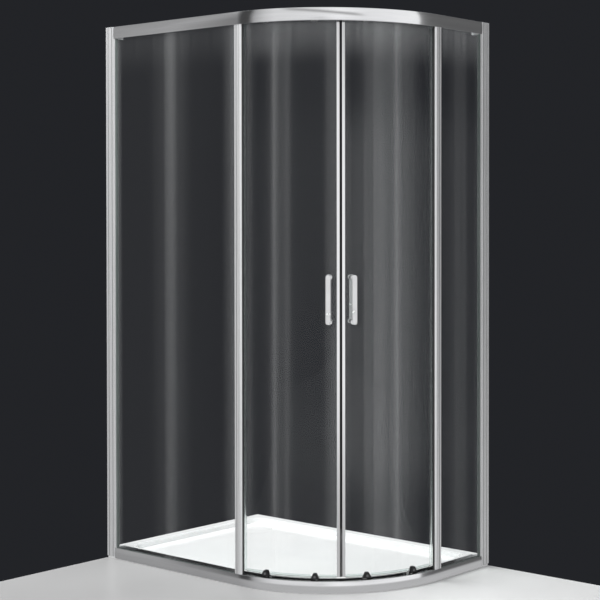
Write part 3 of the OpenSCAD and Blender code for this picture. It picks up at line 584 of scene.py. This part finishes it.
def glass_finish(name, along, length, near, far, head, middle, streaks):
    """Clear glass with painted reflections at its near and far border, head, middle and streaks.

    A flat pane runs along x or y, a bent one along the arc on its side. Places along it are
    counted from its mullion, over its length. A border has a width and a strength, and a
    streak a place, half a width and a strength.
    """
    glass = Finish(name, (0.985, 0.996, 1.0), 0.0)
    glass.shader.inputs["IOR"].default_value = GLASS_IOR
    split = glass.tree.nodes.new("ShaderNodeSeparateXYZ")
    glass.link(glass.place, split.inputs[0])
    x, y, z = (split.outputs[axis] for axis in "XYZ")
    if along == "x":
        reach = glass.sum("SUBTRACT", ARC_CENTRE.x, x)
    elif along == "y":
        reach = glass.sum("SUBTRACT", y, ARC_CENTRE.y)
    else:
        turned = glass.sum("ARCTAN2", glass.sum("SUBTRACT", y, ARC_CENTRE.y),
                           glass.sum("SUBTRACT", x, ARC_CENTRE.x))
        if along == "left":
            reach = glass.sum("MULTIPLY", glass.sum("ADD", turned, math.pi / 2), DOOR_R)
        else:
            reach = glass.sum("MULTIPLY", turned, -DOOR_R)
    from_middle = glass.sum("ABSOLUTE", glass.sum("SUBTRACT", z, MIDDLE_Z), 0)
    # Painted reflection: white in place of transmission along the borders, the head, the middle
    # and in upright streaks, broken up by fine noise.
    parts = [glass.spread(reach, near[1], 0.0, 0.0, near[0], True),
             glass.spread(reach, 0.0, far[1], length - far[0], length, True),
             glass.spread(z, 0.0, head, *HEAD_FADE, True),
             glass.spread(from_middle, middle, 0.0, *MIDDLE_FADE, True)]
    for place, half, strength in streaks:
        off = glass.sum("ABSOLUTE", glass.sum("SUBTRACT", reach, place), 0)
        parts.append(glass.spread(off, strength, 0.0, 0.0, half, True))
    fine = glass.spread(glass.noise((44, 44, 0.12), 3.0, 0.65), 0.42, 1.16)
    painted_reflection = glass.sum("MULTIPLY", glass.sum("ADD", *parts), fine)
    glass.link(glass.spread(painted_reflection, CLEAR, PAINTED_REFLECTION_WEIGHT, 0.0, 1.0),
               glass.shader.inputs["Transmission Weight"])
    passing = glass.tree.nodes.new("ShaderNodeBsdfTransparent")
    passing.inputs["Color"].default_value = (0.97, 0.985, 0.978, 1)
    rays = glass.tree.nodes.new("ShaderNodeLightPath")
    through = glass.sum("MAXIMUM", rays.outputs["Is Shadow Ray"], rays.outputs["Is Diffuse Ray"])
    mix = glass.tree.nodes.new("ShaderNodeMixShader")
    glass.link(through, mix.inputs[0])
    glass.link(glass.shader.outputs[0], mix.inputs[1])
    glass.link(passing.outputs[0], mix.inputs[2])
    glass.link(mix.outputs[0], glass.tree.nodes["Material Output"].inputs["Surface"])
    return glass.material


# Each pane: what it runs along, its length, the near and the far border, the strength of
# its painted reflection at the head and at the middle, and the streaks of painted reflection.
SIDE_PAINTED_REFLECTIONS = {
    "left": ("x", 0.640, (0.09, 0.34), (0.025, 0.30), 0.07, 0.0,
             [(0.350, 0.13, 0.10), (0.346, 0.05, 0.19)]),
    "right": ("y", 0.278, (0.02, 0.03), (0.07, 0.35), 0.55, 0.08, [(0.129, 0.08, 0.18)]),
}
for side, run in SIDES:
    bm = bmesh.new()
    bmesh.ops.create_cube(bm, size=1)
    pane_end = run - PANE_SETBACK
    bmesh.ops.scale(bm, vec=(GLASS_T, pane_end - PANE_START, SIDE_Z[1] - SIDE_Z[0]),
                    verts=bm.verts)
    bmesh.ops.translate(bm, vec=(SIDE_R, (pane_end + PANE_START) / 2, sum(SIDE_Z) / 2),
                        verts=bm.verts)
    soften(bm, list(bm.edges), GLASS_EDGE, 1)
    finished(side + "_side_pane", on_side(bm, side),
             glass_finish(side + "_side_pane", *SIDE_PAINTED_REFLECTIONS[side]),
             "enclosure_frame", "clear_glass", side + "_side_glass")

# Gaskets. Dark rubber that lines each side pane at the upright and in both rails. The
# same rubber makes the stops that end the doors' way in the top rail.
gasket_rubber = Finish("gasket_rubber", (0.10, 0.12, 0.115), 0.5)
gasket_rubber.vary((60, 60, 8), (0.42, 0.62), (25, 25, 3),
                   (0.085, 0.105, 0.10), (0.13, 0.15, 0.145))
dress(gasket_rubber.material, "left_gaskets", "right_gaskets")

# Mullions. Hollow aluminium bars that hold the inner edge of each side pane, rounded
# towards the door, with one groove down the front.
MULLION_IN_R, MULLION_OUT_R, MULLION_HALF, ROUNDING = 0.4845, 0.497, 0.017, 0.010
MULLION_GROOVE, SLOT_TOP_Z = 0.006, 1.9805
for side, _ in SIDES:
    rounding = [(MULLION_OUT_R - ROUNDING + ROUNDING * math.sin(math.radians(a)),
                 ROUNDING - MULLION_HALF - ROUNDING * math.cos(math.radians(a)))
                for a in range(0, 91, 9)]
    groove = [(MULLION_OUT_R, MULLION_GROOVE), (MULLION_OUT_R - GROOVE_DEPTH, MULLION_GROOVE),
              (MULLION_OUT_R - GROOVE_DEPTH, MULLION_GROOVE + GROOVE_W),
              (MULLION_OUT_R, MULLION_GROOVE + GROOVE_W)]
    bm = upright_bar([
        (MULLION_IN_R, -MULLION_HALF), *rounding, *groove, (MULLION_OUT_R, MULLION_HALF),
        (SLOT_OUT_R, MULLION_HALF), (SLOT_OUT_R, PANE_START), (SLOT_IN_R, PANE_START),
        (SLOT_IN_R, MULLION_HALF), (MULLION_IN_R, MULLION_HALF)],
        DECK_Z, SLOT_TOP_Z, POST_EDGE)
    # Painted shade: dark bands in the metal's colour down the groove and on the far part of the
    # rounding, next to the door.
    finish = post_finish(side + "_mullion_metal", side, [
        (MULLION_GROOVE + GROOVE_W / 2, *GROOVE_PAINTED_SHADE), (-0.019, 0.0038, 0.93)])
    finished(side + "_inner_post", on_side(bm, side), finish, "enclosure_frame",
             "bright_aluminium", side + "_mullion")

# Top rail. The same bright aluminium, bent as the bottom one: a crowned face, a slot for
# the side panes, and a ledge inside that the doors' rollers run on, between rubber stops.
FACE_LOW_Z, ROLLER_LEDGE_Z, ROOF_Z, TOP_Z = 1.956, (1.972, 1.975), 1.9975, 2.0
LEDGE_LIP_R = 0.4651
bm = bent_rail([
    (SKIN_R, FACE_LOW_Z), *crowned_face(FACE_LOW_Z, TOP_Z), (RAIL_IN_R, TOP_Z),
    (RAIL_IN_R, ROLLER_LEDGE_Z[0]), (LEDGE_LIP_R, ROLLER_LEDGE_Z[0]),
    (LEDGE_LIP_R, ROLLER_LEDGE_Z[1]), (CHANNEL_R, ROLLER_LEDGE_Z[1]), (CHANNEL_R, ROOF_Z),
    (MULLION_IN_R, ROOF_Z), (MULLION_IN_R, SLOT_TOP_Z), (SLOT_IN_R, SLOT_TOP_Z),
    (SLOT_IN_R, ROOF_Z), (SKIN_R, ROOF_Z)])
soften(bm, sharp_edges(bm, 50), RAIL_EDGE)
finished("upper_rail", bm, rail_metal.material, "enclosure_frame", "bright_aluminium",
         "top_rail")
dress(gasket_rubber.material, "door_stops")


# Door panes. The same glass, bent to the curve of the rails, with ground edges. Each pane
# hangs from two rollers and passes behind its mullion.
def polar(radius, angle):
    """A point about the arc's centre, by its angle from the mullion towards the middle."""
    return (radius * math.cos(math.radians(angle)), -radius * math.sin(math.radians(angle)))


DOOR_GLASS = (DOOR_R - GLASS_T / 2, DOOR_R + GLASS_T / 2)
DOOR_Z = (0.052, 1.969)
MEETING, MAGNET_W, STILE_W, STILE_WEB = 45 - 0.061, 0.0035, 0.0105, 0.003
STILE_END = MEETING - math.degrees(MAGNET_W / DOOR_GLASS[1])
STILE_START = STILE_END - math.degrees(STILE_W / DOOR_GLASS[1])
GLASS_START, GLASS_END = 0.4, STILE_END - math.degrees(STILE_WEB / DOOR_GLASS[1])
# Painted reflections on the door panes, in the same columns as the side panes'.
DOOR_PAINTED_REFLECTIONS = {
    "left": ("left", 0.357, (0.07, 0.26), (0.060, 0.32), 0.35, 0.02,
             [(0.155, 0.07, 0.13), (0.130, 0.020, 0.21), (0.178, 0.018, 0.08)]),
    "right": ("right", 0.357, (0.02, 0.05), (0.03, 0.10), 0.50, 0.15,
              [(0.180, 0.15, 0.30), (0.166, 0.030, 0.19), (0.252, 0.040, 0.16)]),
}
for side, _ in SIDES:
    bm = bmesh.new()
    verts = [bm.verts.new((*polar(r, GLASS_START), z)) for r, z in (
        (DOOR_GLASS[0], DOOR_Z[0]), (DOOR_GLASS[1], DOOR_Z[0]),
        (DOOR_GLASS[1], DOOR_Z[1]), (DOOR_GLASS[0], DOOR_Z[1]))]
    first = [bm.edges.new(pair) for pair in zip(verts, verts[1:] + verts[:1])]
    spun = bmesh.ops.spin(bm, geom=first + verts, cent=(0, 0, 0), axis=(0, 0, 1),
                          angle=math.radians(GLASS_START - GLASS_END), steps=56)
    last = [part for part in spun["geom_last"] if isinstance(part, bmesh.types.BMEdge)]
    for loop in (first, last):
        bmesh.ops.edgeloop_fill(bm, edges=loop)
    bmesh.ops.recalc_face_normals(bm, faces=bm.faces)
    soften(bm, sharp_edges(bm), GLASS_EDGE, 1)
    finished(side + "_door_pane", on_side(bm, side),
             glass_finish(side + "_door_pane", *DOOR_PAINTED_REFLECTIONS[side]),
             side + "_door", "clear_glass", side + "_door_glass")

# Leading stiles and magnetic seals. A slim aluminium profile pushed on the edge of each
# door, and the black magnetic strip that meets the one of the other door.
black_vinyl = Finish("black_vinyl", (0.006, 0.006, 0.007), 0.5)
black_vinyl.vary((80, 80, 5), (0.42, 0.6), (30, 30, 2),
                 (0.004, 0.004, 0.005), (0.010, 0.010, 0.011))
black_vinyl.shader.inputs["Specular IOR Level"].default_value = 0.25
stile_metal = Finish("stile_metal", (0.88, 0.885, 0.89), 0.12, 1.0)
grain = stile_metal.noise((900, 900, 2.5), 2.0)
stile_metal.tones(stile_metal.spread(stile_metal.noise((70, 70, 1.5)), 0, 1),
                  (0.87, 0.875, 0.88), (0.93, 0.935, 0.94))
stile_metal.rough(stile_metal.spread(grain, 0.10, 0.17))
stile_metal.bump(grain, 0.05, 0.0001)
STILE_R, STILE_EDGE = (0.4595, 0.4735), 0.0009
MAGNET_R, MAGNET_EDGE = (0.461, 0.472), 0.0006
for side, _ in SIDES:
    bm = upright_bar([polar(*point) for point in (
        (STILE_R[0], STILE_START), (STILE_R[0], STILE_END), (STILE_R[1], STILE_END),
        (STILE_R[1], STILE_START), (DOOR_GLASS[1], STILE_START), (DOOR_GLASS[1], GLASS_END),
        (DOOR_GLASS[0], GLASS_END), (DOOR_GLASS[0], STILE_START))], *DOOR_Z, STILE_EDGE)
    finished(side + "_door_stile", on_side(bm, side), stile_metal.material, side + "_door",
             "bright_aluminium", side + "_leading_stile")
    magnet_start = STILE_END + 0.006
    bm = upright_bar([polar(*point) for point in (
        (MAGNET_R[0], magnet_start), (MAGNET_R[0], MEETING), (MAGNET_R[1], MEETING),
        (MAGNET_R[1], magnet_start))], *DOOR_Z, MAGNET_EDGE)
    finished(side + "_magnet_strip", on_side(bm, side), black_vinyl.material, side + "_door",
             "black_seal", side + "_magnetic_seal")

# Trailing fins and sweep strips. Clear soft vinyl, pushed on the doors' other upright edges
# and along their lower edges between the clips.
clear_vinyl = Finish("clear_vinyl", (0.93, 0.97, 0.96), 0.12)
clear_vinyl.shader.inputs["Transmission Weight"].default_value = 0.97
clear_vinyl.shader.inputs["IOR"].default_value = 1.25
clear_vinyl.rough(clear_vinyl.spread(clear_vinyl.noise((50, 50, 4)), 0.08, 0.2))
dress(clear_vinyl.material, "left_trailing_seal", "right_trailing_seal",
      "left_sweep_seal", "right_sweep_seal")

# Top rollers. Acetal wheels on steel axles, in pressed steel brackets clamped over the glass.
# The guide wheels under the doors are the same, on axles that hang from the clips.
acetal = Finish("acetal", (0.74, 0.74, 0.73), 0.35)
acetal.vary((120, 120, 120), (0.28, 0.42), (60, 60, 60), (0.70, 0.70, 0.69), (0.78, 0.78, 0.77))
dress(steel.material, *(side + part for side, _ in SIDES
                        for part in ("_roller_axles", "_guide_axles", "_roller_brackets")))
WHEELS = [side + place for side, _ in SIDES for place in ("_trailing", "_leading")]
dress(acetal.material, *(wheel + part for wheel in WHEELS for part in ("_roller", "_guide")))

# Bottom clips. Black moulded wedges under the glass, each with a guide wheel on a steel
# axle and a round release button.
black_nylon = Finish("black_nylon", (0.010, 0.010, 0.011), 0.4)
black_nylon.vary((300, 300, 300), (0.34, 0.5), (90, 90, 90),
                 (0.008, 0.008, 0.009), (0.016, 0.016, 0.017))
dress(black_nylon.material, "left_bottom_clips", "right_bottom_clips",
      "left_handle_washers", "right_handle_washers")
grey_nylon = Finish("grey_nylon", (0.12, 0.12, 0.125), 0.4)
grey_nylon.vary((300, 300, 300), (0.32, 0.48), (90, 90, 90),
                (0.10, 0.10, 0.105), (0.15, 0.15, 0.155))
dress(grey_nylon.material, *(wheel + "_button" for wheel in WHEELS))

# Handles. Chromed zinc bars, crowned in front, on two posts a side. A boss at each end
# reaches out to the post, towards the line where the doors meet.
chrome = Finish("chrome", (0.76, 0.765, 0.77), 0.22, 0.6)
chrome.vary((30, 30, 30), (0.18, 0.28), (14, 14, 14), (0.72, 0.725, 0.73), (0.80, 0.805, 0.81))
HANDLE_SETBACK, HANDLE_GAP = 0.037, 0.030
HANDLE_ANGLE = 45 - math.degrees(HANDLE_SETBACK / DOOR_GLASS[1])
HANDLE_Z, BAR_LEN, BAR_W, BAR_T, BOSS_R, BAR_OFFSET = 1.005, 0.170, 0.018, 0.008, 0.008, 0.006
END_ROUND, FRONT_ROUND = BAR_W * 0.49, BAR_T * 0.62
BOSS_T, BOSS_EDGE, BOSS_FOOT_R = 0.005, 0.0022, BAR_W * 0.42
BOSS_REACH = (BAR_LEN - BAR_W) / 2


def handle_bar(side, name, r, outwards, node):
    """A crowned bar whose back stands at a radius, with its two bosses."""
    bm = bmesh.new()
    bmesh.ops.create_cube(bm, size=1)
    bmesh.ops.scale(bm, vec=(BAR_T, BAR_W, BAR_LEN), verts=bm.verts)
    bmesh.ops.translate(bm, vec=(BAR_T / 2, BAR_OFFSET, 0), verts=bm.verts)
    ends = [edge for edge in bm.edges
            if abs(edge.verts[0].co.x - edge.verts[1].co.x) > BAR_T / 2]
    soften(bm, ends, END_ROUND, 8)
    front = [edge for edge in sharp_edges(bm)
             if all(abs(vert.co.x - BAR_T) < 0.0001 for vert in edge.verts)]
    soften(bm, front, FRONT_ROUND, 6)
    for end in (-1, 1):
        boss = bmesh.new()
        for t, radius in ((BAR_OFFSET, BOSS_FOOT_R), (0, BOSS_R)):
            bmesh.ops.create_circle(
                boss, cap_ends=False, radius=radius, segments=40,
                matrix=Matrix.Translation((0, t, end * BOSS_REACH))
                @ Matrix.Rotation(math.radians(90), 4, "Y"))
        hull = bmesh.ops.convex_hull(boss, input=boss.verts)
        bmesh.ops.delete(boss, geom=hull["geom_interior"], context="VERTS")
        bmesh.ops.dissolve_limit(boss, angle_limit=0.02, verts=boss.verts, edges=boss.edges)
        face = max(boss.faces, key=lambda f: f.calc_area())
        grown = bmesh.ops.extrude_face_region(boss, geom=[face], use_keep_orig=True)["geom"]
        bmesh.ops.translate(
            boss, vec=(BOSS_T, 0, 0),
            verts=[part for part in grown if isinstance(part, bmesh.types.BMVert)])
        bmesh.ops.recalc_face_normals(boss, faces=boss.faces)
        soften(boss, sharp_edges(boss, 50), BOSS_EDGE, 3)
        spare = bpy.data.meshes.new("boss")
        boss.to_mesh(spare)
        boss.free()
        bm.from_mesh(spare)
        bpy.data.meshes.remove(spare)
    if not outwards:
        bmesh.ops.scale(bm, vec=(-1, 1, 1), verts=bm.verts)
    bmesh.ops.translate(bm, vec=(r, 0, HANDLE_Z), verts=bm.verts)
    bmesh.ops.rotate(bm, cent=(0, 0, 0), verts=bm.verts,
                     matrix=Matrix.Rotation(math.radians(-HANDLE_ANGLE), 3, "Z"))
    finished(name, on_side(bm, side), chrome.material, side + "_door", "handle_chrome", node)


OUTER_R, INNER_R = DOOR_GLASS[1] + HANDLE_GAP, DOOR_GLASS[0] - HANDLE_GAP
for side, _ in SIDES:
    handle_bar(side, side + "_outer_grip", OUTER_R, True, side + "_handle")
    handle_bar(side, side + "_inner_grip", INNER_R, False, side + "_inner_handle")
dress(chrome.material, "left_handle_posts", "right_handle_posts")
